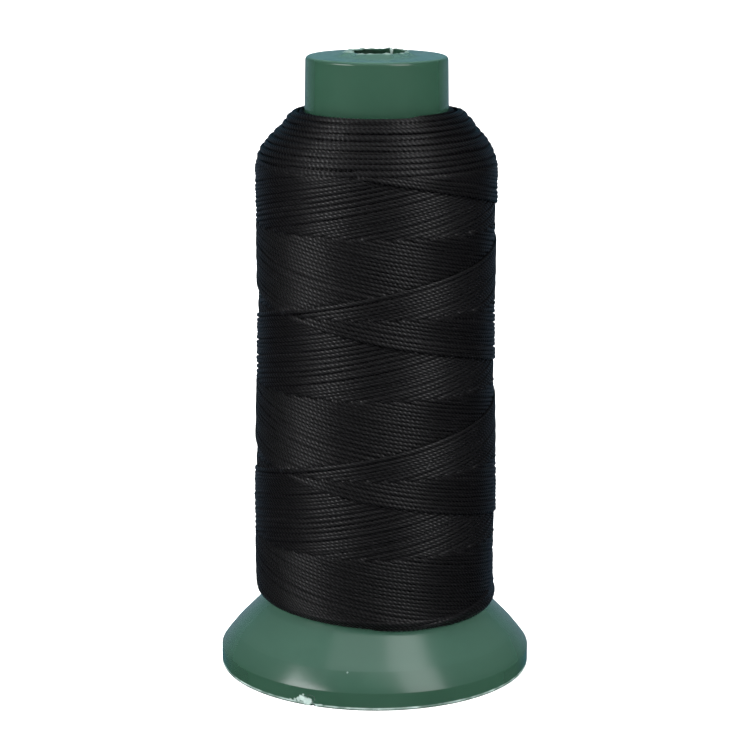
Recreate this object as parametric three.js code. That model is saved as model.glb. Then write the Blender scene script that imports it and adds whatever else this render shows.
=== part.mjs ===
// A spool of sewing thread: a hollow moulded spool, flared at the foot, and the thread wound on it.
// Millimetres, +Z up. The origin is the middle of the foot, on the surface that the spool stands on.
import * as THREE from 'three';

// Spool body
const DISC_HEIGHT = 160; // top disc above the foot
const NECK_RADIUS = 18; // at the top disc
const DRAFT = 0.0158; // growth of the barrel's radius for each millimetre down
const WALL = 1.9; // of the barrel, the top disc and the flare
const RIM_RADIUS = 40.65;
const RIM_WALL = 2;
const RIM_HEIGHT = 5;
const FLARE_SLOPE = 0.878; // radius lost for each millimetre up the flare
const COLLAR_HEIGHT = 1.15; // round the pin hole
const COLLAR_RADIUS = 7.9;
const COLLAR_FOOT_RADIUS = 9.2;
const PIN_HOLE_RADIUS = 6.35;
const FOOT_FILLET = 6; // where the flare meets the barrel

// Wound thread
const GAP = 0.3; // between the thread and the spool
const THREAD_TOP = 147.7;
const SHOULDER_TOP_RADIUS = 19.6;
const LOWER_EDGE_RADIUS = 30.1; // where the turns end on the flare
const EDGE_SLIP = 0.47; // how far the lower edge strays down and up the flare
const SLIP_HEIGHT = 7; // the lower edge's stray fades out over this height of the side
const SLIP_WIDTH = 6; // and over this width of the underside

const SEGMENTS = 72; // round the axis
const ARC_STEP = Math.PI / 9; // largest turn between two points of a rounded corner

const flareRadius = (z) => RIM_RADIUS - FLARE_SLOPE * (z - RIM_HEIGHT);
const flareHeight = (r) => RIM_HEIGHT + (RIM_RADIUS - r) / FLARE_SLOPE;
const barrelRadius = (z) => NECK_RADIUS + DRAFT * (DISC_HEIGHT - z);

// The height at which the flare, moved out by an offset, meets the barrel, moved out by the same offset.
function footHeight(offset) {
  const flareShift = offset * Math.hypot(1, FLARE_SLOPE);
  const flareAtZero = flareRadius(0) + flareShift;
  const barrelAtZero = barrelRadius(0) + offset;
  return (flareAtZero - barrelAtZero) / (FLARE_SLOPE - DRAFT);
}

function footCorner(offset) {
  const z = footHeight(offset);
  return { r: barrelRadius(z) + offset, z };
}

// One corner of an outline, turned into an arc of its radius that is tangent to both of its sides.
function roundCorner(before, corner, after) {
  const here = new THREE.Vector2(corner.r, corner.z);
  if (!corner.round) return [here];
  const toBefore = new THREE.Vector2(before.r, before.z).sub(here).normalize();
  const toAfter = new THREE.Vector2(after.r, after.z).sub(here).normalize();
  const halfAngle = Math.acos(THREE.MathUtils.clamp(toBefore.dot(toAfter), -1, 1)) / 2;
  const tangent = corner.round / Math.tan(halfAngle);
  const middle = toBefore.clone().add(toAfter).normalize();
  const centre = here.clone().addScaledVector(middle, corner.round / Math.sin(halfAngle));
  const first = here.clone().addScaledVector(toBefore, tangent).sub(centre);
  const last = here.clone().addScaledVector(toAfter, tangent).sub(centre);
  const sweep = Math.atan2(first.cross(last), first.dot(last));
  const steps = Math.max(1, Math.ceil(Math.abs(sweep) / ARC_STEP));
  const origin = new THREE.Vector2();
  return Array.from({ length: steps + 1 }, (_, i) =>
    first.clone().rotateAround(origin, (sweep * i) / steps).add(centre));
}

// Turns a closed outline, listed anticlockwise from radius and height, round the axis.
function turned(corners) {
  const outline = corners.flatMap((corner, i) =>
    roundCorner(corners.at(i - 1), corner, corners[(i + 1) % corners.length]));
  outline.push(outline[0].clone());
  return new THREE.LatheGeometry(outline, SEGMENTS).rotateX(Math.PI / 2);
}

function spoolBody() {
  const innerFoot = footCorner(-WALL);
  const rimInside = RIM_RADIUS - RIM_WALL;
  const underDisc = DISC_HEIGHT - WALL;
  const flareInside = flareHeight(rimInside + WALL * Math.hypot(1, FLARE_SLOPE));
  return turned([
    { r: rimInside, z: 0 },
    { r: RIM_RADIUS, z: 0, round: 0.4 },
    { r: RIM_RADIUS, z: RIM_HEIGHT, round: 1.5 },
    { ...footCorner(0), round: FOOT_FILLET },
    { r: NECK_RADIUS, z: DISC_HEIGHT, round: 1 },
    { r: COLLAR_FOOT_RADIUS, z: DISC_HEIGHT, round: 0.8 },
    { r: COLLAR_RADIUS, z: DISC_HEIGHT + COLLAR_HEIGHT, round: 0.3 },
    { r: PIN_HOLE_RADIUS, z: DISC_HEIGHT + COLLAR_HEIGHT, round: 0.3 },
    { r: PIN_HOLE_RADIUS, z: underDisc },
    { r: barrelRadius(underDisc) - WALL, z: underDisc, round: 1 },
    { ...innerFoot, round: FOOT_FILLET + WALL },
    { r: rimInside, z: flareInside, round: 0.5 },
  ]);
}

// The lower edge lies further down the flare on one side, as the last turns have slipped there.
function strayLowerEdge(geometry) {
  const position = geometry.attributes.position;
  const edgeHeight = flareHeight(LOWER_EDGE_RADIUS);
  for (let i = 0; i < position.count; i += 1) {
    const [x, y, z] = [position.getX(i), position.getY(i), position.getZ(i)];
    const r = Math.hypot(x, y);
    const angle = Math.atan2(x, -y); // from the front, towards +X
    const upSide = THREE.MathUtils.clamp(1 - (z - edgeHeight) / SLIP_HEIGHT, 0, 1);
    const alongFlare = THREE.MathUtils.clamp(1 - (LOWER_EDGE_RADIUS - r) / SLIP_WIDTH, 0, 1);
    const slip = EDGE_SLIP * (Math.sin(angle) + Math.sin(2 * angle)) * Math.min(upSide, alongFlare);
    const scale = (r + slip) / r;
    position.setXYZ(i, x * scale, y * scale, z - slip / FLARE_SLOPE);
  }
  return geometry;
}

function woundThread() {
  const flareShift = GAP * Math.hypot(1, FLARE_SLOPE);
  const onFlare = (r) => flareHeight(r - flareShift);
  return strayLowerEdge(turned([
    { r: LOWER_EDGE_RADIUS, z: onFlare(LOWER_EDGE_RADIUS), round: 0.4 },
    { r: 31.5, z: 19.4, round: 2 },
    { r: 31.7, z: 46, round: 150 },
    { r: 30.7, z: 94, round: 300 },
    { r: 31, z: 136.3, round: 12 },
    { r: SHOULDER_TOP_RADIUS, z: THREAD_TOP, round: 0.6 },
    { r: barrelRadius(THREAD_TOP) + GAP, z: THREAD_TOP },
    { ...footCorner(GAP), round: FOOT_FILLET - GAP },
  ]));
}

function part(name, geometry, colour, roughness) {
  const material = new THREE.MeshStandardMaterial({ color: colour, roughness, metalness: 0 });
  const mesh = new THREE.Mesh(geometry, material);
  mesh.name = name;
  return mesh;
}

const spoolOfThread = new THREE.Group();
spoolOfThread.add(part('spool', spoolBody(), '#48785f', 0.42));
spoolOfThread.add(part('thread', woundThread(), '#17181b', 0.6));

export default spoolOfThread;
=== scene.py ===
"""A tall spool of sewing thread: a moulded spool and the thread cross-wound on it."""

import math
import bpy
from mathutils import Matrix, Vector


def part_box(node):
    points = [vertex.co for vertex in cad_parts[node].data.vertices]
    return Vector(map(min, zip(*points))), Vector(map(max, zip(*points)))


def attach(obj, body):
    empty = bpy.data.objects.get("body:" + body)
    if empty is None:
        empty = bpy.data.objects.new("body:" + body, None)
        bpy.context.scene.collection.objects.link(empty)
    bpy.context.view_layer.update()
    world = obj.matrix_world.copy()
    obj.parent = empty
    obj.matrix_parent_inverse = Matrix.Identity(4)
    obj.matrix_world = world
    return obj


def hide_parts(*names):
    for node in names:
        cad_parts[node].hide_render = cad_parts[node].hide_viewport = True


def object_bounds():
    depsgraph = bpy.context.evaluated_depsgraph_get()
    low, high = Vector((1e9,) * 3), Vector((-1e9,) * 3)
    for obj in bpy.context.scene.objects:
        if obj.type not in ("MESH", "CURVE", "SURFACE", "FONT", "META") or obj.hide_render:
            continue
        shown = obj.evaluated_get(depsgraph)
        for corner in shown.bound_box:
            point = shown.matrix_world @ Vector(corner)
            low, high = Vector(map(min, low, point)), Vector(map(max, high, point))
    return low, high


bl_info = {
    "name": "Spool of Sewing Thread",
    "version": (1, 0, 0),
    "blender": (4, 5, 0),
    "location": "View3D > Sidebar > Thread Spool",
    "description": "Builds a moulded spool with its cross-wound thread, and a plain studio round it",
    "category": "Add Mesh",
}

from functools import partial

import bpy
import numpy as np
from bpy.props import FloatProperty, FloatVectorProperty, IntProperty, PointerProperty
from mathutils import Matrix, Vector

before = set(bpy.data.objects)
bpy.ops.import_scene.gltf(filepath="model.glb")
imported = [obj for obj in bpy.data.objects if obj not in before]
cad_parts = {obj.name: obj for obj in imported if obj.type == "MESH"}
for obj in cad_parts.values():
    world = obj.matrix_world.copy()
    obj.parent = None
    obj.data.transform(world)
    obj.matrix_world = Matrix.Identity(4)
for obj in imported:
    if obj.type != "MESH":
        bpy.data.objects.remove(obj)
CAD_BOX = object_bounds()

MM = 0.001
SPOOL_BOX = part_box("spool")
THREAD_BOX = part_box("thread")
BODY = "root"
PLASTIC_SLOT = "spool_plastic"
THREAD_SLOT = "sewing_thread"


def linear(hex_colour):
    """An sRGB hex colour as linear red, green, blue and alpha."""
    channels = [int(hex_colour[i:i + 2], 16) / 255 for i in (1, 3, 5)]
    return [c / 12.92 if c <= 0.04045 else ((c + 0.055) / 1.055) ** 2.4 for c in channels] + [1.0]


def length(name, description, default):
    """A size in metres that a user may change."""
    return FloatProperty(name=name, description=description, default=default, unit="LENGTH", precision=5)


def ratio(name, description, default):
    """A change of radius for each unit of height, which a user may change."""
    return FloatProperty(name=name, description=description, default=default)


def angular(name, description, degrees):
    """An angle that a user may change."""
    return FloatProperty(name=name, description=description, default=math.radians(degrees), subtype="ANGLE")


def power(name, description, watts):
    """A lamp's power that a user may change."""
    return FloatProperty(name=name, description=description, default=watts, unit="POWER")


def colour(name, description, hex_colour):
    """A colour that a user may change."""
    return FloatVectorProperty(name=name, description=description, size=4, min=0, max=1,
                               subtype="COLOR", default=linear(hex_colour))


class SpoolMoulding(bpy.types.PropertyGroup):
    """Sizes and colours of the moulded spool."""
    rim_radius: length("Rim radius", "Radius of the foot's upright rim", SPOOL_BOX[1].x)
    rim_height: length("Rim height", "Height at which the rim turns into the flare", 5 * MM)
    rim_wall: length("Rim wall", "Thickness of the rim", 2 * MM)
    flare_slope: ratio("Flare slope", "Radius lost for each unit of height up the flare", 0.878)
    top: length("Top", "Height of the collar's lip", SPOOL_BOX[1].z)
    neck_radius: length("Neck radius", "Radius of the neck at the top disc", 18.12 * MM)
    draft: ratio("Draft", "Radius gained for each unit of height down the barrel", 0.0158)
    wall: length("Wall", "Thickness of the barrel, the flare and the top disc", 1.9 * MM)
    collar_height: length("Collar height", "Height of the collar above the top disc", 1.15 * MM)
    collar_radius: length("Collar radius", "Outer radius of the collar", 7.9 * MM)
    pin_hole_radius: length("Pin hole radius", "Radius of the hole for the spool pin", 6.35 * MM)
    plastic: colour("Plastic", "Colour of the moulded plastic", "#223e30")
    worn: colour("Worn plastic", "Colour of the plastic where it is chipped or rubbed", "#a2b5af")
    # Painted light: the tint that faces pointing up are paled towards, for light and sheen from above
    painted_top_light: colour("Painted top light", "Colour of the thin film of dust on what faces up", "#709389")


class ThreadWinding(bpy.types.PropertyGroup):
    """Sizes, twist and colours of the wound thread."""
    thread_width: length("Thread width", "Width of the twisted thread, pressed flat", 1.2 * MM)
    thread_height: length("Thread height", "Height of the pressed thread", 0.84 * MM)
    twist: length("Twist pitch", "Length in which the plies go once round the thread", 3.7 * MM)
    lead: length("Lead", "Rise of the thread in one turn round the package", 40.8 * MM)
    threads: IntProperty(name="Threads in a lead", description="Neighbouring turns laid across one lead",
                         default=39, min=8)
    crossing_angle: angular("Crossing angle", "Where the newest turns cross, from the front", -50)
    crossing_height: length("Crossing height", "Height at which the newest turns cross", 97.6 * MM)
    newest_step: length("Newest step", "How proud the newest turns stand of the oldest", 0.45 * MM)
    black: colour("Dyed filament", "Colour of the thread's filaments", "#0a0a0c")
    seed: IntProperty(name="Seed", description="Seed of the winding's unevenness", default=7)


class PlainStudio(bpy.types.PropertyGroup):
    """Floor, lights and camera."""
    floor: colour("Floor", "Colour of the floor", "#f4f4f4")
    camera_distance: length("Camera distance", "Distance of the camera in front of the axis", 0.6096)
    camera_height: length("Camera height", "Height of the camera above the floor", 0.2208)
    camera_aside: length("Camera aside", "Distance of the camera to the right of the axis", -0.2 * MM)
    camera_tilt: angular("Camera tilt", "How far the camera looks down", 13.26)
    camera_roll: angular("Camera roll", "How far the camera leans to its left", 0.2)
    lens: FloatProperty(name="Focal length", description="Focal length of the lens", default=115.5,
                        unit="CAMERA")
    left_power: power("Left softbox", "Power of the softbox on the left", 2.8)
    right_power: power("Right softbox", "Power of the softbox on the right", 3.1)
    top_power: power("Overhead", "Power of the soft light overhead", 4.5)
    bounce_power: power("Bounce", "Power of the light thrown back from the left", 1.2)
    ceiling_power: power("Ceiling", "Power of the lit patch of ceiling in front", 0.5)
    fill_power: power("Fill lights", "Power of each light behind", 0.35)
    room: colour("Room", "Colour of the dim room that the object mirrors", "#26282c")
    room_behind: colour("Room behind", "Colour of the room behind the object", "#4a7890")
    room_low: colour("Room low behind", "Colour of the room low down behind the object", "#788a9f")


# Outlines

FOOT_ROUNDING = 6 * MM  # of the corner where the flare meets the barrel


def unit(vectors):
    """The vector, or each row of vectors, at length one."""
    return vectors / np.linalg.norm(vectors, axis=-1, keepdims=True)


def smooth_step(t):
    t = np.clip(t, 0, 1)
    return t * t * (3 - 2 * t)


def between(value, low, high, easing):
    """One between low and high, falling smoothly to zero at both over the easing."""
    return smooth_step((value - low) / easing) * smooth_step((high - value) / easing)


def about_axis(angle, r, z):
    """Places at angles from the front, radii and heights."""
    return np.stack(np.broadcast_arrays(r * np.sin(angle), -r * np.cos(angle), z), axis=-1)


def travelled(points):
    """How far each point lies along the line from the first."""
    return np.concatenate(((0,), np.cumsum(np.linalg.norm(np.diff(points, axis=0), axis=1))))


def rounded(corners, arc_step=math.radians(10)):
    """Points of a closed outline through corners of (radius, height, rounding), with arcs as roundings."""
    points = []
    for i, (r, z, rounding) in enumerate(corners):
        here = np.array((r, z))
        if not rounding:
            points.append(here)
            continue
        to_before = unit(np.array(corners[i - 1][:2]) - here)
        to_after = unit(np.array(corners[(i + 1) % len(corners)][:2]) - here)
        half = math.acos(np.clip(to_before @ to_after, -1, 1)) / 2
        middle = here + unit(to_before + to_after) * rounding / math.sin(half)
        first = here + to_before * rounding / math.tan(half) - middle
        last = here + to_after * rounding / math.tan(half) - middle
        sweep = math.atan2(first[0] * last[1] - first[1] * last[0], first @ last)
        for angle in np.linspace(0, sweep, max(2, math.ceil(abs(sweep) / arc_step) + 1)):
            turn = np.array(((math.cos(angle), -math.sin(angle)), (math.sin(angle), math.cos(angle))))
            points.append(middle + turn @ first)
    return np.array(points)


def subdivided(outline, longest):
    """The closed outline with its long sides cut, where longest gives the longest side allowed at a point."""
    points = []
    for here, after in zip(outline, np.roll(outline, -1, axis=0)):
        pieces = max(1, math.ceil(np.linalg.norm(after - here) / longest((here + after) / 2)))
        points.extend(here + (after - here) * i / pieces for i in range(pieces))
    return np.array(points)


def flare_height(spool, r):
    return spool.rim_height + (spool.rim_radius - r) / spool.flare_slope


def barrel_radius(spool, z):
    return spool.neck_radius + spool.draft * (spool.top - spool.collar_height - z)


def foot_corner(spool, offset):
    """Where the flare meets the barrel, with both moved outwards by an offset."""
    flare_at_zero = spool.rim_radius + spool.flare_slope * spool.rim_height
    flare_at_zero += offset * math.hypot(1, spool.flare_slope)
    z = (flare_at_zero - barrel_radius(spool, 0) - offset) / (spool.flare_slope - spool.draft)
    return barrel_radius(spool, z) + offset, z


# Meshes

def new_object(name, data):
    """An object with this mesh, light or camera, in the scene."""
    obj = bpy.data.objects.new(name, data)
    bpy.context.scene.collection.objects.link(obj)
    return obj


def mesh_object(name, points, quads, uvs, material, normals=None):
    """A smooth-shaded object from points and quads, with its named UV maps given corner by corner, and its
    normals point by point where they are given."""
    mesh = bpy.data.meshes.new(name)
    mesh.vertices.add(len(points))
    mesh.vertices.foreach_set("co", points.astype(np.float32).ravel())
    mesh.loops.add(quads.size)
    mesh.loops.foreach_set("vertex_index", quads.astype(np.int32).ravel())
    mesh.polygons.add(len(quads))
    mesh.polygons.foreach_set("loop_start", np.arange(0, quads.size, 4, dtype=np.int32))
    mesh.update(calc_edges=True)
    for map_name, corners in uvs.items():
        layer = mesh.uv_layers.new(name=map_name)
        layer.data.foreach_set("uv", corners.astype(np.float32).ravel())
    mesh.validate()
    mesh.shade_smooth()
    if normals is not None:
        mesh.normals_split_custom_set_from_vertices(normals.tolist())
    mesh.materials.append(material)
    return new_object(name, mesh)


def even_angles(count):
    return np.arange(count) * 2 * math.pi / count


def turned(name, outline, angles, material, shape=None, closed=True):
    """An outline turned round the axis through angles from the front. shape may move its points, given their
    angle."""
    count = len(outline)
    segments = len(angles)
    angle = np.repeat(angles, count)
    r, z = np.tile(outline, (segments, 1)).T
    if shape:
        r, z = shape(angle, r, z)
    points = about_axis(angle, r, z)
    step = np.arange(segments)[:, None]
    along = np.arange(count if closed else count - 1)[None, :]
    step_after = (step + 1) % segments
    along_after = (along + 1) % count
    quads = np.stack((step * count + along, step_after * count + along,
                      step_after * count + along_after, step * count + along_after), axis=-1)
    sides = np.linalg.norm(np.roll(outline, -1, axis=0) - outline, axis=1)[:along.size]
    length_share = np.concatenate(((0,), np.cumsum(sides))) / sides.sum()
    share = np.append(angles - angles[0], 2 * math.pi)[:, None] / (2 * math.pi)
    before, after = share[:-1], share[1:]
    u = np.stack((before, after, after, before), axis=-1)
    lower, upper = length_share[:-1], length_share[1:]
    v = np.stack((lower, lower, upper, upper), axis=-1)[None]
    uv = np.stack(np.broadcast_arrays(u, v), axis=-1)
    return mesh_object(name, points, quads.reshape(-1, 4), {"OFBake": uv.reshape(-1, 2)}, material)


# Materials

def add_node(tree, kind, inputs=None, **settings):
    """Adds a shader node with its settings, and sets or links each input. A node given as an input is linked
    by its first output in use. Map Range takes its value as input 0, the range it comes from as 1 and 2, and
    the range it goes to as 3 and 4. Mix takes its share as input 0 and its two colours as 6 and 7."""
    node = tree.nodes.new("ShaderNode" + kind)
    for name, value in settings.items():
        setattr(node, name, value)
    for name, value in (inputs or {}).items():
        if isinstance(value, bpy.types.Node):
            value = next(output for output in value.outputs if output.enabled)
        if isinstance(value, bpy.types.NodeSocket):
            tree.links.new(value, node.inputs[name])
        else:
            node.inputs[name].default_value = value
    return node


def emptied(owner):
    """A material or a world with an empty node tree, and what adds nodes to it."""
    owner.use_nodes = True
    owner.node_tree.nodes.clear()
    return owner, partial(add_node, owner.node_tree)


COLOURS = {"data_type": "RGBA"}
TINT = {"data_type": "RGBA", "blend_type": "MULTIPLY"}
EASED = {"interpolation_type": "SMOOTHSTEP"}

# Marks of wear on the rim: angle from the front in degrees, height and reach in mm, and whiteness.
WORN_SPOTS = (
    (-26.9, 1.75, 0.85, 0.85),
    (-25.6, 1.3, 0.95, 0.85),
    (-24.3, 1.0, 0.85, 0.8),
    (-28.3, 1.25, 0.65, 0.7),
    (-26.4, 2.75, 0.3, 0.55),
    (-29.8, 0.95, 0.5, 0.5),
    (-31.6, 0.75, 0.4, 0.4),
    (-24.5, 0.35, 0.5, 0.6),
    (-21.2, 0.3, 0.4, 0.6),
)
SPECK = (-10.6, 3.3, 0.24, 0.35)  # angle in degrees, mm in from the rim, reach in mm, and whiteness
PIT = (-22.8, 0.3, 0.5)  # angle in degrees, height and reach in mm
FLASH_ANGLE = math.radians(147.6)  # of a tag of plastic left on the hole's edge
FLASH_DEPTH = 0.4 * MM  # of the middle of its whitening under the lip
FLASH_REACH = 1 * MM
PALE_LINE_HEIGHT = 0.55 * MM  # of the pale line round the rim's lower edge
LIP_UNEVEN = 0.8 * MM  # how far the lip's whitening reaches up and down


def rim_place(spool, degrees, height):
    """A place on the rim's outer face."""
    return about_axis(math.radians(degrees), spool.rim_radius, height * MM)


def worn_places(spool):
    """Centre, reach and whiteness of each mark of wear."""
    for degrees, height, reach, white in WORN_SPOTS:
        yield rim_place(spool, degrees, height), reach * MM, white
    degrees, inwards, reach, white = SPECK
    radius = spool.rim_radius - inwards * MM
    yield about_axis(math.radians(degrees), radius, flare_height(spool, radius)), reach * MM, white
    yield about_axis(FLASH_ANGLE, spool.pin_hole_radius, spool.top - FLASH_DEPTH), FLASH_REACH, 1.0


def spot(add, place, uneven, centre, reach, strength):
    """A mask that is strength near a centre and falls to zero at about the reach, with an uneven edge."""
    away = add("VectorMath", {0: place, 1: centre}, operation="DISTANCE")
    ragged = add("Math", {0: uneven, 1: 1.6 * reach, 2: away}, operation="MULTIPLY_ADD")
    return add("MapRange", {0: ragged, 1: 1.55 * reach, 2: 1.95 * reach, 3: strength, 4: 0.0})


def moulded_polypropylene(spool):
    """Injection-moulded polypropylene: satin, faintly mottled, with a fine mould grain that softens its
    highlights. Faces that point up are paled with painted light and sheen from above. The plastic whitens
    where it is chipped, and it is paled in a line along the rim's lower edge and on the collar's lip."""
    material, add = emptied(bpy.data.materials.new("Moulded polypropylene, satin green"))
    place = add("TexCoord").outputs["Object"]
    # Each pattern's patches in mm, and its detail. The grain is drawn coarser than the mould's own, to show.
    mottle, uneven, patchy, grain = (
        add("TexNoise", {"Vector": place, "Scale": 1 / (size * MM), "Detail": detail})
        for size, detail in ((22, 3.0), (0.8, 3.0), (4, 2.0), (0.35, 2.0)))
    tone = add("MapRange", {0: mottle, 1: 0.3, 2: 0.7, 3: 0.93, 4: 1.07})
    body = add("Mix", {0: 1.0, 6: spool.plastic, 7: tone}, **TINT)
    up = add("SeparateXYZ", {0: add("NewGeometry").outputs["Normal"]}).outputs["Z"]
    # Painted light: faces that point up are paled towards a lighter tint, for the light and sheen that fall
    # on them from above.
    film = add("MapRange", {0: up, 1: 0.5, 2: 1.0, 3: 0.0, 4: 0.27})
    body = add("Mix", {0: film, 6: body, 7: spool.painted_top_light}, **COLOURS)
    height = add("SeparateXYZ", {0: place}).outputs["Z"]
    # A pale line is painted round the lower edge, half a millimetre up, more in some places than in others.
    off_line = add("Math", {0: height, 1: PALE_LINE_HEIGHT}, operation="SUBTRACT")
    off_line = add("Math", {0: off_line}, operation="ABSOLUTE")
    line = add("MapRange", {0: off_line, 1: 0.12 * MM, 2: 0.3 * MM, 3: 1.0, 4: 0.0})
    line_patches = add("MapRange", {0: patchy, 1: 0.4, 2: 0.65, 3: 0.2, 4: 0.9})
    marks = add("Math", {0: line, 1: line_patches}, operation="MULTIPLY")
    # The collar's lip is paled in a ragged band.
    lip = add("Math", {0: patchy, 1: LIP_UNEVEN, 2: height}, operation="MULTIPLY_ADD")
    lip = add("MapRange", {0: lip, 1: spool.top + 0.15 * MM, 2: spool.top + 0.45 * MM, 3: 0.0, 4: 0.35})
    for mask in (lip, *(spot(add, place, uneven, *worn) for worn in worn_places(spool))):
        marks = add("Math", {0: marks, 1: mask}, operation="MAXIMUM")
    skin = add("Mix", {0: marks, 6: body, 7: spool.worn}, **COLOURS)
    # Painted shade: the pit is coloured near black, for the shade inside it.
    pit_shade = spot(add, place, uneven, rim_place(spool, *PIT[:2]), PIT[2] * MM, 1.0)
    skin = add("Mix", {0: pit_shade, 6: skin, 7: linear("#0a0d0b")}, **COLOURS)
    rough = add("MapRange", {0: mottle, 1: 0.3, 2: 0.7, 3: 0.19, 4: 0.25})
    rough = add("Math", {0: marks, 1: 0.4, 2: rough}, operation="MULTIPLY_ADD")
    bump = add("Bump", {"Height": grain, "Strength": 0.3, "Distance": 0.003 * MM})
    shader = add("BsdfPrincipled", {"Base Color": skin, "Roughness": rough, "IOR": 1.49, "Normal": bump})
    add("OutputMaterial", {"Surface": shader})
    return material


def twisted_filament(winding):
    """Continuous-filament polyester, twisted from three plies and dyed black: the plies catch the light as a
    row of beads, with dark grooves between them that have painted shade in their colour and are rougher,
    and the filaments along them give a soft lustre."""
    material, add = emptied(bpy.data.materials.new("Twisted polyester filament, dyed black"))
    plies = add("UVMap", uv_map="plies")
    phase = add("Math", {0: add("SeparateXYZ", {0: plies}), 1: math.pi}, operation="MULTIPLY")
    wave = add("Math", {0: phase}, operation="SINE")
    ridge = add("Math", {0: wave}, operation="ABSOLUTE")
    crown = add("MapRange", {0: ridge, 1: 0.6}, **EASED)
    # Painted shade: the black is darkened where the crown falls off, in the grooves between the plies.
    groove_shaded_black = add("Mix", {0: 1.0, 6: winding.black, 7: crown}, **TINT)
    groove = add("MapRange", {0: crown, 3: 1.0, 4: 0.23})
    # Filaments are 0.02 mm thick, too fine to show, so they are drawn in strands of about a sixth of a mm.
    strands = add("Mapping", {"Vector": plies, "Scale": (1.1, 6.0, 1.0)})
    filaments = add("TexNoise", {"Vector": strands, "Scale": 1.0, "Detail": 2.0})
    rough = add("Math", {0: filaments, 1: 0.12, 2: groove}, operation="MULTIPLY_ADD")
    combed = add("Bump", {"Height": filaments, "Strength": 0.6, "Distance": 0.04 * MM})
    along = add("Tangent", direction_type="UV_MAP", uv_map="plies")
    shader = add("BsdfPrincipled", {"Base Color": groove_shaded_black, "Roughness": rough, "IOR": 1.57, "Anisotropic": 0.9,
                                    "Anisotropic Rotation": 0.25, "Tangent": along, "Normal": combed})
    add("OutputMaterial", {"Surface": shader})
    return material


def buried_turns(winding):
    """The turns beneath, seen only through the gaps: near black, with uneven rows."""
    material, add = emptied(bpy.data.materials.new("Buried turns of dyed thread"))
    place = add("TexCoord").outputs["Object"]
    rows = add("TexWave", {"Vector": place, "Scale": 1 / (20 * MM), "Distortion": 1.5, "Detail": 2.0},
               bands_direction="Z").outputs["Fac"]
    bump = add("Bump", {"Height": rows, "Strength": 1.0, "Distance": 0.3 * MM})
    shade = add("Mix", {0: rows, 6: linear("#0b0b0d"), 7: winding.black}, **COLOURS)
    shader = add("BsdfPrincipled", {"Base Color": shade, "Roughness": 0.6, "IOR": 1.57, "Normal": bump})
    add("OutputMaterial", {"Surface": shader})
    return material


def lit_paper(studio):
    """Seamless translucent paper with a painted glow, as if lit from behind: matt and white. The glow is
    weaker near the middle, so that a soft shade shows only where the object keeps the softboxes' light off
    it."""
    material, add = emptied(bpy.data.materials.new("Seamless paper, lit from behind"))
    place = add("TexCoord").outputs["Object"]
    away = add("VectorMath", {0: place}, operation="LENGTH")
    # Painted light: the paper glows, weaker near the middle and stronger far out.
    glow = add("MapRange", {0: away, 1: 0.15, 2: 0.8, 3: 0.62, 4: 1.1}, **EASED)
    tooth = add("TexNoise", {"Vector": place, "Scale": 1 / (1.2 * MM)})
    bump = add("Bump", {"Height": tooth, "Strength": 0.05, "Distance": 0.02 * MM})
    shader = add("BsdfPrincipled", {"Base Color": studio.floor, "Roughness": 0.9, "Specular IOR Level": 0.1,
                                    "Emission Color": studio.floor, "Emission Strength": glow,
                                    "Normal": bump})
    add("OutputMaterial", {"Surface": shader})
    return material


# The package that the thread is wound into

GAP = 0.3 * MM  # between the package and the moulding
EDGE_RADIUS = 30.1 * MM  # of the lower edge
EDGE_SLIP = 0.47 * MM  # how far the last turns have slipped, at most
SLIP_HEIGHT = 7 * MM  # how far up the side and in along the flare the slip fades out
SLIP_WIDTH = 6 * MM
SHOULDER_RADIUS = 19.6 * MM  # of the shoulder's inner end
SHOULDER_INSET = 0.41  # how far the shoulder comes down for each unit that the package's face moves in
EDGE_INSET = 1.3  # and how far the lower edge moves in
SHOULDER_SHIFT = 0.5 * MM  # towards +X
FULLER_HEIGHT = 136 * MM  # where the shift starts, and the height over which it grows
FULLER_RISE = 8 * MM
CLEAR_RADIUS = 18.4 * MM  # inside which nothing shifts, so that the neck stays clear
CREST_RADIUS = 20.9 * MM  # of the highest turn, inside which the winding dips towards the neck
NECK_DIP = 0.9 * MM


def package_corners(spool, inset):
    """Corners of the wound package's outline, from its lower edge up the side and over the shoulder to the
    neck, then down the bore, with its outer face moved in by an inset."""
    on_flare = GAP * math.hypot(1, spool.flare_slope)
    edge = EDGE_RADIUS - EDGE_INSET * inset
    top = THREAD_BOX[1].z - inset
    lowered = SHOULDER_INSET * inset
    return [
        (edge, flare_height(spool, edge - on_flare), 0.4 * MM),
        (31.5 * MM - inset, 19.4 * MM, 2 * MM),
        (31.7 * MM - inset, 46 * MM, 150 * MM),
        (30.7 * MM - inset, 94 * MM, 300 * MM),
        (31 * MM - inset, 136.3 * MM - lowered, 12 * MM),
        (SHOULDER_RADIUS, top - lowered, 0.6 * MM),
        (barrel_radius(spool, top) + GAP, top - lowered, 0),
        (*foot_corner(spool, GAP), FOOT_ROUNDING - GAP),
    ]


def strayed(spool, points):
    """Moves points near the package's lower edge along the flare, because the last turns have slipped down
    it on one side, and moves the shoulder's outer turns a little towards +X, where they are fuller."""
    x, y, z = points.T
    r = np.hypot(x, y)
    angle = np.arctan2(x, -y)
    up_side = np.clip(1 - (z - flare_height(spool, EDGE_RADIUS)) / SLIP_HEIGHT, 0, 1)
    along_flare = np.clip(1 - (EDGE_RADIUS - r) / SLIP_WIDTH, 0, 1)
    slip = EDGE_SLIP * (np.sin(angle) + np.sin(2 * angle)) * np.minimum(up_side, along_flare)
    scale = (r + slip) / r
    fuller = SHOULDER_SHIFT * smooth_step((z - FULLER_HEIGHT) / FULLER_RISE)
    fuller *= smooth_step((r - CLEAR_RADIUS) / MM)
    return np.stack((x * scale + fuller, y * scale, z - slip / spool.flare_slope), axis=1)


FACE_STEP = 0.25 * MM  # between the points of the face's outline
FACE_EASING = 5  # how many points to each side its outward direction is evened out over


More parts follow.
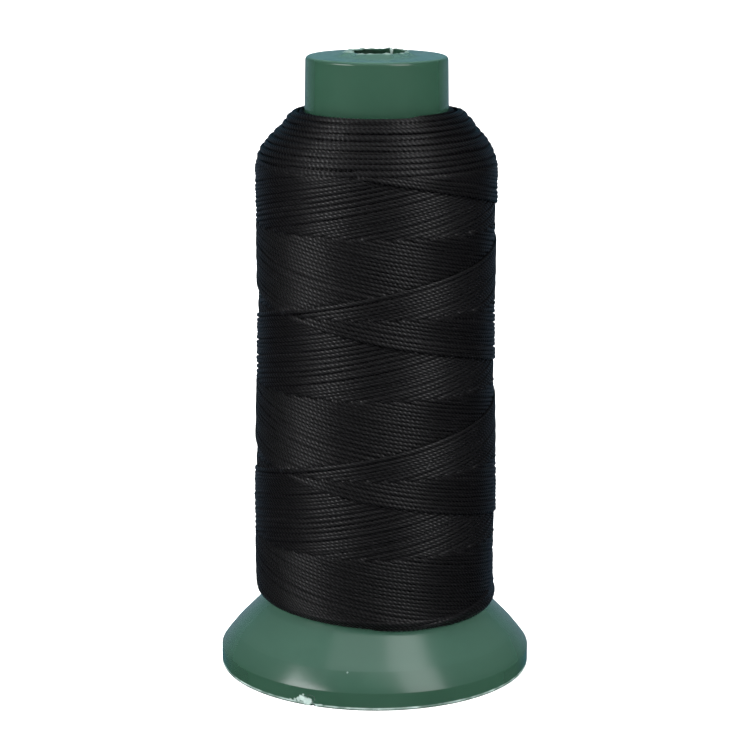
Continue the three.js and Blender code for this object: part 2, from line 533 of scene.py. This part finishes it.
class PackageFace:
    """The package's outer face. A place on it is its height on the side, or its distance up the outline."""

    def __init__(self, spool):
        outline = rounded(package_corners(spool, 0), math.radians(2))
        top = int(np.argmax(outline[:, 1]))
        outline = subdivided(outline[:top + 2], lambda _: FACE_STEP)
        outline = outline[:int(np.argmax(outline[:, 1] >= THREAD_BOX[1].z - 1e-6)) + 1]
        self.distance = travelled(outline)
        self.r, self.z = outline.T
        tangent = np.gradient(outline, self.distance, axis=0)
        kernel = np.ones(2 * FACE_EASING + 1) / (2 * FACE_EASING + 1)
        smooth = [np.convolve(np.pad(t, FACE_EASING, mode="edge"), kernel, mode="valid") for t in tangent.T]
        size = np.hypot(*smooth)
        self.out_r, self.out_z = smooth[1] / size, -smooth[0] / size

    def distance_at(self, z):
        return np.interp(z, self.z, self.distance)

    def at(self, distance):
        """Radius, height and outward direction at a distance up the outline."""
        return [np.interp(distance, self.distance, row) for row in (self.r, self.z, self.out_r, self.out_z)]


class Crossing:
    """The order of the crossed turns. Along a rising thread its own age stays the same while the age of the
    falling threads under it grows, and the other way round, so each pair of newest turns bounds triangles in
    which one family lies on top."""

    def __init__(self, winding):
        self.lead = winding.lead
        self.rise = winding.lead / (2 * math.pi)
        self.newest_rising = winding.crossing_height - self.rise * winding.crossing_angle
        self.newest_falling = winding.crossing_height + self.rise * winding.crossing_angle
        # No rising turn shows below this height.
        self.last_rising = winding.crossing_height - 1.5 * winding.lead
        self.step = winding.newest_step

    def meeting(self, rising_age, falling_age):
        """The angle and the straight height at which a rising and a falling thread of these ages cross."""
        rising = self.newest_rising - self.lead * rising_age
        falling = self.newest_falling + self.lead * falling_age
        return (falling - rising) / (2 * self.rise), (falling + rising) / 2

    def lift(self, rising_age, falling_age):
        return self.step * (1 - rising_age - falling_age)

    def lift_at(self, angle, z):
        """Lift of the package's face at an angle and a height."""
        rising_age = ((self.newest_rising - z + self.rise * angle) / self.lead) % 1
        falling_age = ((z + self.rise * angle - self.newest_falling) / self.lead) % 1
        rising_age = np.where((z < self.last_rising) & (rising_age < falling_age), 1, rising_age)
        return self.lift(rising_age, falling_age)


# Threads

SECTION = np.radians((-95, -45, 0, 45, 95))  # the part of each thread that shows, from its underside round
PLIES = 3
GROOVE = 0.6  # depth of the grooves between plies, as a share of the radius
PLY_PLACES = np.array((0, 0.25, 0.5, 0.75))  # of the rings across one ply, from its groove over its ridge
PLY_PROFILE = np.array((1 - GROOVE, 1 - 0.1 * GROOVE, 1, 1 - 0.1 * GROOVE))
PLY_TILT = np.array((0, -0.17, 0, 0.17))  # how far the normals lean along the thread: plies are pressed flat
PATH_STEP = 0.8 * MM
THREAD_SHIFT = 7  # mm between neighbouring threads in the map of the plies, so that no two look alike
ROW_RINGS = 400  # length of a row in the unwrapped threads
ROW_MARGIN = 0.08  # share of a row left free at each side


class Threads:
    """Twisted threads laid on the package, gathered into one mesh. Each ring of points is slanted to run
    along a ply, so that the ridges and grooves of the plies are edges of the mesh."""

    def __init__(self, face, winding, rng, coarse=1):
        self.face = face
        self.half_width = winding.thread_width / 2
        self.half_height = winding.thread_height / 2
        self.twist = winding.twist
        self.coarse = coarse
        self.rng = rng
        self.rings = []
        self.normals = []
        self.counts = []

    def lay(self, angle, distance, lift, size=1.0):
        """Lays one thread through places on the face, lifted from it."""
        r, z, out_r, out_z = self.face.at(distance)
        lift = lift - self.half_height * size
        r = r + out_r * lift
        centre = about_axis(angle, r, z + out_z * lift)
        ahead = unit(np.gradient(centre, axis=0))
        out = about_axis(angle, out_r, out_z)
        out = unit(out - (out * ahead).sum(axis=1, keepdims=True) * ahead)
        frames = np.concatenate((centre, out, np.cross(out, ahead)), axis=1)
        gone = travelled(centre)
        slant = SECTION * self.twist / (2 * math.pi)  # how far each side of a ply's ring lies ahead
        ply = self.twist / PLIES
        start = slant.max() + self.rng.random() * ply
        plies = int((gone[-1] - slant.max() - start) / ply)
        if plies < 1:
            return
        number = np.arange(0, plies * len(PLY_PLACES) + 1, self.coarse)
        phase = number // len(PLY_PLACES) + PLY_PLACES[number % len(PLY_PLACES)]
        where = start + phase[:, None] * ply - slant[None, :]
        placed = np.stack([np.interp(where, gone, row) for row in frames.T], axis=-1)
        middle, out, beside = placed[..., :3], placed[..., 3:6], placed[..., 6:]
        radius = PLY_PROFILE[number % len(PLY_PROFILE)][:, None] * size
        across = np.sin(SECTION) * self.half_width * radius
        up = np.cos(SECTION) * self.half_height * radius
        self.rings.append(middle + out * up[..., None] + beside * across[..., None])
        flat = np.stack((np.cos(SECTION) / self.half_height, np.sin(SECTION) / self.half_width))
        flat /= np.linalg.norm(flat, axis=0)
        tilt = PLY_TILT[number % len(PLY_TILT)][:, None, None]
        self.normals.append(out * flat[0][:, None] + beside * flat[1][:, None] + np.cross(beside, out) * tilt)
        plies = np.broadcast_to(phase[:, None], where.shape)
        round_mm = SECTION * self.half_width / MM + THREAD_SHIFT * len(self.rings)
        round_mm = np.broadcast_to(round_mm, where.shape)
        self.counts.append(np.stack((plies, round_mm), axis=-1))

    def unwrapped(self):
        """The mesh's points and quads, with its maps: plies counts them and gives millimetres round the
        thread, and OFBake lays the threads in rows."""
        sides = len(SECTION)
        quads, plies, bake = [], [], []
        first, row = 0, 0
        for ring, count in zip(self.rings, self.counts):
            k, c = np.indices((len(ring) - 1, sides - 1)).reshape(2, -1, 1)
            corner_k = k + (0, 1, 1, 0)
            corner_c = c + (0, 0, 1, 1)
            quads.append(first + corner_k * sides + corner_c)
            plies.append(count[corner_k, corner_c])
            rows = k // ROW_RINGS
            along = (corner_k - rows * ROW_RINGS) / ROW_RINGS
            across = ROW_MARGIN + (1 - 2 * ROW_MARGIN) * corner_c / (sides - 1)
            bake.append(np.stack((along, row + rows + across), axis=-1))
            first += len(ring) * sides
            row += int(rows[-1, 0]) + 1
        bake = np.concatenate(bake)
        bake[..., 1] /= row
        points = np.concatenate([ring.reshape(-1, 3) for ring in self.rings])
        maps = {"OFBake": bake.reshape(-1, 2), "plies": np.concatenate(plies).reshape(-1, 2)}
        return points, np.concatenate(quads), maps

    def made(self, name, spool, material):
        points, quads, maps = self.unwrapped()
        normals = unit(np.concatenate([normal.reshape(-1, 3) for normal in self.normals]))
        return mesh_object(name, strayed(spool, points), quads, maps, material, normals)


def path_angles(start, end, radius):
    """Angles from start to end, one step of a path apart."""
    return np.linspace(start, end, max(5, math.ceil(abs(end - start) * radius / PATH_STEP) + 1))


def uneven_places(rng, count, gap_share, gap):
    """Places of neighbouring threads across one lead, from 0 to 1, with a wider gap after some of them."""
    steps = 1 + rng.normal(0, 0.04, count) + gap * (rng.random(count) < gap_share)
    return np.concatenate(((0,), np.cumsum(steps)[:-1])) / steps.sum()


def wander(rng, size, *rates):
    """A slow random wave in an angle, made of one sine for each rate."""
    phases = rng.random(len(rates)) * 2 * math.pi
    return lambda angle: size * sum(np.sin(rate * angle + p) for rate, p in zip(rates, phases)) / len(rates)


# Operators

def keep(piece, slot, *nodes):
    """Ties a finished piece to the frame."""
    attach(piece, BODY)
    if nodes:
        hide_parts(*nodes)


def workbench(context, stage):
    """The settings, the face and the random numbers for one stage of the winding."""
    spool, winding = context.scene.spool_moulding, context.scene.thread_winding
    return spool, winding, PackageFace(spool), np.random.default_rng(winding.seed + stage)


CHIPS = (  # angle from the front in degrees, then height, half the width, half the height and depth in mm
    (-23.9, 1.75, 1.9, 1.4, 0.75),
    (-27.3, 1.05, 1.0, 0.7, 0.25),
    (PIT[0], PIT[1], 0.8, 0.45, 0.9),
    (-19.7, 0.8, 0.8, 0.7, 0.3),
)
CHIPPED_PART = np.radians((-30, -17))  # where the moulding's cross-sections are close together
FINE_STEP = math.radians(0.3)
COARSE_SECTIONS = 280
RIM_STEP = 0.35 * MM  # longest side of the outline on the rim, and elsewhere
BODY_STEP = 9 * MM
BODY_SEED = 3
LOWER_FLARE = 2.25 * MM  # width of the flare's last part, which bends down a little before the rim's crease
LOWER_SLOPE = 0.727
UPPER_FLARE = 36.5 * MM  # radius inside which the flare is a little steeper, up to the thread
UPPER_SLOPE = 0.98
UNDER_THREAD = 30 * MM  # radius at which the flare has gone in under the thread
COLLAR_FOOT = 3.2 * MM  # width over which the collar runs out onto the disc
LIP_WIDTH = 0.4 * MM  # of the thin lip between the hole and the collar's top
LIP_BAND = 0.9 * MM  # how far outside the lip the hole's unevenness reaches
UNDERCUT = 1.1 * MM  # how far the hole widens under the lip
OFF_CENTRE = 0.8 * MM  # of the hole, towards +X
FLASH_SIZE = 0.8 * MM  # how far the tag of plastic reaches into the hole
FLASH_HALF_WIDTH = 0.35 * MM


def body_angles():
    """Angles of the moulding's cross-sections, close together where the rim is chipped."""
    start, end = CHIPPED_PART
    fine = np.arange(start, end, FINE_STEP)
    coarse = np.linspace(end, start + 2 * math.pi, COARSE_SECTIONS, endpoint=False)
    return np.concatenate((fine, coarse))


class SPOOL_OT_moulded_body(bpy.types.Operator):
    """Build the moulded spool: rim, flare, barrel, neck, top disc and collar, hollow from below"""
    bl_idname = "thread_spool.moulded_body"
    bl_label = "Moulded Body"

    def execute(self, context):
        spool = context.scene.spool_moulding
        disc = spool.top - spool.collar_height
        rim_inside = spool.rim_radius - spool.rim_wall
        under_disc = disc - spool.wall
        under_flare = spool.wall * math.hypot(1, spool.flare_slope)
        bend = flare_height(spool, spool.rim_radius - LOWER_FLARE)
        hole = spool.pin_hole_radius
        lip = hole + LIP_WIDTH
        upper = flare_height(spool, UPPER_FLARE)
        outline = rounded([
            (rim_inside, 0, 0),
            (spool.rim_radius, 0, 0.3 * MM),
            (spool.rim_radius, bend - LOWER_FLARE / LOWER_SLOPE, 0.45 * MM),
            (spool.rim_radius - LOWER_FLARE, bend, 40 * MM),
            (UPPER_FLARE, upper, 30 * MM),
            (UNDER_THREAD, upper + (UPPER_FLARE - UNDER_THREAD) / UPPER_SLOPE, 10 * MM),
            (*foot_corner(spool, 0), FOOT_ROUNDING),
            (spool.neck_radius, disc, 1 * MM),
            (spool.collar_radius + COLLAR_FOOT, disc, 5 * MM),
            (spool.collar_radius, spool.top, 0.25 * MM),
            (lip, spool.top - 0.08 * MM, 0.2 * MM),
            (lip + UNDERCUT, disc - 0.35 * MM, 0.2 * MM),
            (hole, disc - 0.9 * MM, 0.2 * MM),
            (hole, under_disc, 0),
            (barrel_radius(spool, under_disc) - spool.wall, under_disc, 1 * MM),
            (*foot_corner(spool, -spool.wall), FOOT_ROUNDING + spool.wall),
            (rim_inside, flare_height(spool, rim_inside + under_flare), 0.5 * MM),
        ], math.radians(12))
        outer_rim = spool.rim_radius - 0.5 * MM
        outline = subdivided(outline, lambda p: RIM_STEP if p[0] > outer_rim else BODY_STEP)
        rng = np.random.default_rng(BODY_SEED)
        lip_wave = wander(rng, 0.32 * MM, 3, 5, 8, 13, 21)
        hole_wave = wander(rng, 0.3 * MM, 2, 7, 11, 17, 29)

        def shape(angle, r, z):
            """Chips the rim, and makes the collar's lip ragged and its hole uneven."""
            chipped = np.zeros_like(r)
            for degrees, height, half_width, half_height, depth in CHIPS:
                beside = (angle - math.radians(degrees)) * spool.rim_radius / MM
                away = np.hypot(beside / half_width, (z / MM - height) / half_height)
                chipped = np.maximum(chipped, depth * MM * smooth_step((1 - away) * 1.7))
            r = r - np.where(r > outer_rim, chipped, 0)
            at_lip = smooth_step((z - disc) / (0.8 * MM))
            inner = smooth_step((lip + LIP_BAND - r) / LIP_BAND) * at_lip
            beside_flash = (angle - FLASH_ANGLE) * hole
            flash = FLASH_SIZE * smooth_step(1.6 - np.abs(beside_flash) / FLASH_HALF_WIDTH)
            flash = flash * smooth_step((z - disc + 0.6 * MM) / (0.4 * MM)) * (r < lip + 1.2 * MM)
            off_centre = OFF_CENTRE * np.sin(angle)
            return r + (off_centre + hole_wave(angle)) * inner - flash, z + lip_wave(angle) * at_lip

        body = turned("moulded_body", outline, body_angles(), moulded_polypropylene(spool), shape)
        body.data.set_sharp_from_angle(angle=math.radians(50))
        keep(body, PLASTIC_SLOT, "spool")
        return {"FINISHED"}


CORE_INSET = 0.55 * MM
CORE_FOOT = 20 * MM  # height above which the core follows the crossed turns
NEWEST_EDGE = 0.8 * MM  # how far beside a newest turn the core stays under it
CORE_SINK = 0.25 * MM  # how much lower the core lies on the shoulder
SINK_HEIGHT = 131.5 * MM
DIP_HEIGHT = 140 * MM  # above which the core can dip towards the neck
BORE_RADIUS = 19 * MM  # inside which the core keeps its shape
SIDE_RADIUS = 28 * MM  # outside which lies the side
CORE_STEP = 1.5 * MM  # longest side of the outline on the outer face, and in the bore
BORE_STEP = 20 * MM
CORE_SECTIONS = 180


class SPOOL_OT_wound_core(bpy.types.Operator):
    """Build the closed core of buried turns that the outer turns lie on"""
    bl_idname = "thread_spool.wound_core"
    bl_label = "Wound Core"

    def execute(self, context):
        spool = context.scene.spool_moulding
        winding = context.scene.thread_winding
        crossing = Crossing(winding)
        outline = subdivided(rounded(package_corners(spool, CORE_INSET)),
                             lambda p: CORE_STEP if p[0] > barrel_radius(spool, p[1]) + MM else BORE_STEP)

        def shape(angle, r, z):
            """Follows the lift of the crossed turns, stays under each newest turn's edge, and lies lower on
            the shoulder, under two layers of turns."""
            nearby = [crossing.lift_at(angle, z + shift) for shift in (-NEWEST_EDGE, 0, NEWEST_EDGE)]
            on_side = smooth_step((r - SIDE_RADIUS) / MM) * smooth_step((z - CORE_FOOT) / (2 * MM))
            sunk = CORE_SINK * smooth_step((z - SINK_HEIGHT) / (2 * MM))
            sunk += NECK_DIP * smooth_step((CREST_RADIUS - r) / MM) * (z > DIP_HEIGHT)
            return r + np.minimum.reduce(nearby) * on_side - sunk * (r > BORE_RADIUS), z - sunk

        core = turned("wound_core", outline, even_angles(CORE_SECTIONS), buried_turns(winding), shape)
        points = strayed(spool, np.array([vertex.co for vertex in core.data.vertices]))
        core.data.vertices.foreach_set("co", points.astype(np.float32).ravel())
        keep(core, THREAD_SLOT, "thread")
        return {"FINISHED"}


SIDE_FOOT = 18.0 * MM  # height that falling turns settle to at the lower end
SIDE_TOP = 134.6 * MM  # and rising ones at the upper end
SETTLE = 1.6 * MM  # half the height in which a turn levels out
TUCK = 2.7 * MM  # length of a thread that goes on under the turns that cover it
DIVE = 1.25 * MM  # half the length in which it goes down
COVERED = 0.95  # how much deeper a covered thread lies, as a share of its height
DRIFT = 0.09 * MM  # how far a thread strays up and down the side
SINK = 0.05 * MM  # and in and out
END_EASING = 1.2 * MM  # height over which the turns go under at both ends of the side
END_DEPTH = 0.5 * MM
END_SLACK = 0.2 * MM
PERIODS = range(-5, 6)  # of the crossings along one thread, more than the side has


def settled(straight):
    """The height of a turn whose straight helix would be at this height: it levels out towards both ends."""
    low = SIDE_FOOT + SETTLE * np.logaddexp(0, (straight - SIDE_FOOT) / SETTLE)
    return SIDE_TOP - SETTLE * np.logaddexp(0, (SIDE_TOP - low) / SETTLE)


class SPOOL_OT_crossed_turns(bpy.types.Operator):
    """Lay the crossed turns of the package's side, in bands one above the other"""
    bl_idname = "thread_spool.crossed_turns"
    bl_label = "Crossed Turns"

    def execute(self, context):
        spool, winding, face, rng = workbench(context, 0)
        crossing = Crossing(winding)
        rising = uneven_places(rng, winding.threads, 0.4, 0.45)
        falling = uneven_places(rng, winding.threads, 0.22, 0.35) + 0.5 / winding.threads
        bands = {}
        self.lay_family(winding, crossing, face, rng, bands, rising, falling, rising_family=True)
        self.lay_family(winding, crossing, face, rng, bands, falling, rising, rising_family=False)
        material = twisted_filament(winding)
        for number, (_, threads) in enumerate(sorted(bands.items()), 1):
            keep(threads.made(f"crossed_turns_{number}", spool, material), THREAD_SLOT)
        return {"FINISHED"}

    def lay_family(self, winding, crossing, face, rng, bands, own, other, rising_family):
        """Lays every stretch of one family that lies on top of the other."""
        radius = THREAD_BOX[1].x
        around = math.pi * radius  # along a thread while the other family's age grows by one
        over = COVERED * winding.thread_height
        covered_to = TUCK / around
        # The other family's ages at which the threads come up from under their younger turns.
        ages = np.concatenate(((other[-1] - 1,), other, (other[0] + 1,)))
        starts = (ages[:-1] + ages[1:]) / 2
        end = starts[-1]
        for age, start in zip(own, starts if rising_family else starts[1:]):

            def course(other_age):
                """Angle and straight height along the thread, given by the other family's age there."""
                return crossing.meeting(*((age, other_age) if rising_family else (other_age, age)))

            drift = wander(rng, DRIFT, 1.3, 2.9, 5.3)
            sink = wander(rng, SINK, 1.7, 3.1, 6.7)
            depth = rng.normal(0, SINK)
            for period in PERIODS:
                middle = course(period + (start + end) / 2)[1]
                last = middle < crossing.last_rising  # the falling turns stay on top down to the lower edge
                if last and rising_family:
                    continue
                ages = np.array((start - covered_to, end + (1 if last else covered_to))) + period
                low, high = sorted(course(ages)[1])
                if high < SIDE_FOOT or low > SIDE_TOP:
                    continue
                # The stretch is cut where it would pass an end of the side.
                fine = np.linspace(*ages, 400)
                straight = course(fine)[1]
                fine = fine[(straight >= SIDE_FOOT - END_SLACK) & (straight <= SIDE_TOP + END_SLACK)]
                ages = fine[[0, -1]]
                ends = course(ages)[0]
                angle = path_angles(*ends, radius)
                at_age = np.interp(angle, ends, ages)
                straight = course(at_age)[1]
                up = smooth_step(((at_age - start - period) * around + DIVE) / (2 * DIVE))
                down = smooth_step(((end + period - at_age) * around + DIVE) / (2 * DIVE))
                down = np.maximum(down, last)
                lift = crossing.lift(age, np.minimum(at_age - period, 1))
                lift -= over * (1 - up) + max(over - crossing.step, 0) * (1 - down)
                shown = between(straight, SIDE_FOOT, SIDE_TOP, END_EASING)
                lift = lift * shown - END_DEPTH * (1 - shown) + depth + sink(angle)
                height = settled(straight) + drift(angle)
                band = math.floor((middle - winding.crossing_height) / (winding.lead / 2))
                if band not in bands:
                    bands[band] = Threads(face, winding, rng)
                bands[band].lay(angle, face.distance_at(height), lift)


SPIRAL_TUCK = 6 * MM  # length in which a spiral comes up at its start and goes under at its end
SPIRAL_DEPTH = 0.6 * MM


def spiral(face, threads, start, turns, from_distance, to_distance, lift, drift, size=1.0):
    """Lays one long thread round and round, from one distance up the outline to another."""
    radius = float(face.at((from_distance + to_distance) / 2)[0])
    angle = path_angles(start, start + turns * 2 * math.pi, radius)
    share = np.linspace(0, 1, len(angle))
    distance = from_distance + (to_distance - from_distance) * share
    shown = between(share, 0, 1, SPIRAL_TUCK / (turns * 2 * math.pi * radius))
    threads.lay(angle, distance + drift(angle), lift(angle, distance) - SPIRAL_DEPTH * (1 - shown), size)


SHOULDER_FOOT = 132.8 * MM  # height at which the shoulder's turns start
UNDER_END = 0.6 * MM  # how far the turns beneath stop before the neck
OVER_END = 2.1 * MM  # and the outer ones
UNDER_PITCH = 1.25 * MM
OVER_PITCH = 1.7 * MM
OVER_SIZE = 1.3  # of the outer turns against the side's
UNDER_DEPTH = 0.5 * MM
UNDER_START = 0.4  # angles from the front at which the two spirals start
OVER_START = 1.1
BULGE = 0.5 * MM  # how high the turns are heaped up, how far before the neck, and over what distance
BULGE_PLACE = 4.2 * MM
BULGE_WIDTH = 3.2 * MM


class SPOOL_OT_shoulder_turns(bpy.types.Operator):
    """Lay the nearly level turns of the sloping shoulder, unevenly spaced"""
    bl_idname = "thread_spool.shoulder_turns"
    bl_label = "Shoulder Turns"

    def execute(self, context):
        spool, winding, face, rng = workbench(context, 1)
        material = twisted_filament(winding)
        low = face.distance_at(SHOULDER_FOOT)
        neck = face.distance[-1]
        high = neck - UNDER_END
        crest = neck - OVER_END

        def bulge(distance):
            """How far the turns near the neck are heaped up."""
            return BULGE * np.exp(-((neck - distance - BULGE_PLACE) / BULGE_WIDTH) ** 2)

        def buried(angle, distance):
            """The lift of the turns under the outer ones, which drop away next to the neck."""
            return bulge(distance) - UNDER_DEPTH - NECK_DIP * smooth_step((distance - crest) / (1.2 * MM))

        under = Threads(face, winding, rng, coarse=2)
        spiral(face, under, UNDER_START, (high - low) / UNDER_PITCH, high, low, buried,
               wander(rng, 0.1 * MM, 0.7, 1.9))
        keep(under.made("shoulder_turns_under", spool, material), THREAD_SLOT)
        over = Threads(face, winding, rng)
        uneven = wander(rng, 0.14 * MM, 1.3, 3.7)
        spiral(face, over, OVER_START, (crest - low) / OVER_PITCH, low, crest,
               lambda angle, distance: bulge(distance) + uneven(angle),
               wander(rng, 0.45 * MM, 0.83, 1.37, 2.6), OVER_SIZE)
        keep(over.made("shoulder_turns_over", spool, material), THREAD_SLOT)
        return {"FINISHED"}


LAST_START = 2.4  # angle from the front at which the last turns start
LAST_TURNS = 3.2
LAST_LOW = 0.55 * MM  # how far up the outline they start and end
LAST_HIGH = 3.4 * MM
LAST_LIFT = 0.06 * MM
# Strands that cross the lower edge: their first and last angle from the front in degrees, and their first and
# last distance up the outline in mm.
STRANDS = ((3, 66, 0.3, 4.6), (-4, 82, 0.1, 3.1), (16, 74, 0.9, 5.6))
STRAND_EASING = 0.08  # share of a strand in which it comes up, and in which it goes under
STRAND_RISE = 0.5 * MM
STRAND_DEPTH = 0.3 * MM


class SPOOL_OT_lower_turns(bpy.types.Operator):
    """Lay the last turns round the lower edge, and the strands that cross it"""
    bl_idname = "thread_spool.lower_turns"
    bl_label = "Lower Turns"

    def execute(self, context):
        spool, winding, face, rng = workbench(context, 2)
        threads = Threads(face, winding, rng)
        spiral(face, threads, LAST_START, LAST_TURNS, LAST_LOW, LAST_HIGH, lambda angle, distance: LAST_LIFT,
               wander(rng, 0.16 * MM, 0.9, 2.2))
        for first, last, low, high in STRANDS:
            angle = path_angles(math.radians(first), math.radians(last), EDGE_RADIUS)
            share = np.linspace(0, 1, len(angle))
            lift = STRAND_RISE * between(share, 0, 1, STRAND_EASING) - STRAND_DEPTH
            threads.lay(angle, (low + (high - low) * share) * MM, lift)
        keep(threads.made("lower_turns", spool, twisted_filament(winding)), THREAD_SLOT)
        return {"FINISHED"}


# Studio

SENSOR_WIDTH = 36  # mm
FLOOR_RADIUS = 3.0
SWEEP_RADIUS = 1.5  # of the curve where the floor turns up into the backdrop
BACKDROP_HEIGHT = 4.0
FLOOR_LEVEL = -0.02 * MM  # just under the object, so that the two don't share a face
FLOOR_SECTIONS = 128
SOFTBOX_DISTANCE = 0.8
DAYLIGHT = "#fdfdff"
COOL_LIGHT = "#d8e4ff"
# Each softbox's azimuth from the front towards +X and its elevation in degrees, its width and height, the
# setting that gives its power, its colour, and whether the object's gloss mirrors it.
SOFTBOXES = {
    "softbox_left": (-58, 29.4, 0.42, 0.27, "left_power", DAYLIGHT, True),
    "softbox_right": (43, 42, 0.36, 0.75, "right_power", DAYLIGHT, True),
    "ceiling_front": (-20, 63, 0.6, 0.22, "ceiling_power", DAYLIGHT, True),
    "fill_back_left": (-150, 14, 0.7, 0.35, "fill_power", COOL_LIGHT, False),
    "fill_back_right": (150, 14, 0.7, 0.35, "fill_power", COOL_LIGHT, False),
    "overhead": (180, 72, 0.6, 0.6, "top_power", DAYLIGHT, False),
    "bounce_left": (-100, 40, 0.7, 0.7, "bounce_power", DAYLIGHT, False),
}


def softbox(name, azimuth, elevation, width, height, watts, hex_colour, mirrored):
    """A rectangular softbox that shines at the object's middle."""
    lamp = bpy.data.lights.new(name, "AREA")
    lamp.shape = "RECTANGLE"
    lamp.size, lamp.size_y = width, height
    lamp.energy = watts
    lamp.color = linear(hex_colour)[:3]
    box = new_object(name, lamp)
    box.visible_camera = False
    box.visible_glossy = mirrored
    target = Vector((0, 0, CAD_BOX[1].z / 2))
    a, e = math.radians(azimuth), math.radians(elevation)
    back = Vector((math.sin(a) * math.cos(e), -math.cos(a) * math.cos(e), math.sin(e)))
    place = target + back * SOFTBOX_DISTANCE
    box.location = place
    box.rotation_euler = (target - place).to_track_quat("-Z", "Y").to_euler()


def dim_room(studio):
    """A dim room, cooler and a little lighter behind the object, most of all near the pale floor."""
    world, add = emptied(bpy.data.worlds.new("Dim room"))
    ways = add("SeparateXYZ", {0: add("TexCoord").outputs["Generated"]})
    back, up = ways.outputs["Y"], ways.outputs["Z"]
    far = add("MapRange", {0: back, 1: 0.6}, **EASED)
    shade = add("Mix", {0: far, 6: studio.room, 7: studio.room_behind}, **COLOURS)
    behind = add("MapRange", {0: back, 1: 0.45, 2: 0.75}, **EASED)
    # The lightest band lies a little below the horizon.
    from_band = add("Math", {0: up, 1: 0.08}, operation="ADD")
    from_band = add("Math", {0: from_band}, operation="ABSOLUTE")
    low = add("MapRange", {0: from_band, 1: 0.2, 2: 0.08}, **EASED)
    near_floor = add("Math", {0: behind, 1: low}, operation="MULTIPLY")
    shade = add("Mix", {0: near_floor, 6: shade, 7: studio.room_low}, **COLOURS)
    add("OutputWorld", {"Surface": add("Background", {"Color": shade})})
    return world


class SPOOL_OT_studio(bpy.types.Operator):
    """Set up the floor with its sweep, the soft lights and the camera"""
    bl_idname = "thread_spool.studio"
    bl_label = "Studio"

    def execute(self, context):
        studio = context.scene.plain_studio
        camera = bpy.data.cameras.new("camera")
        camera.lens = studio.lens
        camera.sensor_width = SENSOR_WIDTH
        holder = new_object("camera", camera)
        holder.location = (studio.camera_aside, -studio.camera_distance, studio.camera_height)
        tilt = Matrix.Rotation(math.pi / 2 - studio.camera_tilt, 3, "X")
        holder.rotation_euler = (tilt @ Matrix.Rotation(studio.camera_roll, 3, "Z")).to_euler()
        context.scene.camera = holder

        sweep = [(FLOOR_RADIUS + SWEEP_RADIUS * math.sin(a), FLOOR_LEVEL + SWEEP_RADIUS * (1 - math.cos(a)))
                 for a in np.linspace(0, math.pi / 2, 24)]
        outline = np.array([(MM, FLOOR_LEVEL), *sweep, (FLOOR_RADIUS + SWEEP_RADIUS, BACKDROP_HEIGHT)])
        floor = turned("floor", outline, even_angles(FLOOR_SECTIONS), lit_paper(studio), closed=False)
        # The paper's light reaches the object, but the object mirrors the dim room and not the bright paper.
        floor.visible_glossy = False
        floor.visible_shadow = False

        for name, (*placing, watts, hex_colour, mirrored) in SOFTBOXES.items():
            softbox(name, *placing, getattr(studio, watts), hex_colour, mirrored)

        context.scene.world = dim_room(studio)
        context.scene.view_settings.view_transform = "Standard"
        return {"FINISHED"}


class SPOOL_PT_thread_spool(bpy.types.Panel):
    """Sizes, colours and steps of the thread spool"""
    bl_idname = "SPOOL_PT_thread_spool"
    bl_label = "Thread Spool"
    bl_space_type = "VIEW_3D"
    bl_region_type = "UI"
    bl_category = "Thread Spool"

    def draw(self, context):
        for group in (context.scene.spool_moulding, context.scene.thread_winding, context.scene.plain_studio):
            box = self.layout.box()
            for name in group.__annotations__:
                box.prop(group, name)
        for operator in OPERATORS:
            self.layout.operator(operator.bl_idname)


OPERATORS = (SPOOL_OT_studio, SPOOL_OT_moulded_body, SPOOL_OT_wound_core, SPOOL_OT_crossed_turns,
             SPOOL_OT_shoulder_turns, SPOOL_OT_lower_turns)
GROUPS = {"spool_moulding": SpoolMoulding, "thread_winding": ThreadWinding, "plain_studio": PlainStudio}


def register():
    for cls in (*GROUPS.values(), *OPERATORS, SPOOL_PT_thread_spool):
        bpy.utils.register_class(cls)
    for name, group in GROUPS.items():
        setattr(bpy.types.Scene, name, PointerProperty(type=group))


def unregister():
    for name in GROUPS:
        delattr(bpy.types.Scene, name)
    for cls in reversed((*GROUPS.values(), *OPERATORS, SPOOL_PT_thread_spool)):
        bpy.utils.unregister_class(cls)


def main():
    register()
    for operator in OPERATORS:
        getattr(bpy.ops.thread_spool, operator.bl_idname.partition(".")[2])()


if __name__ == "__main__":
    main()
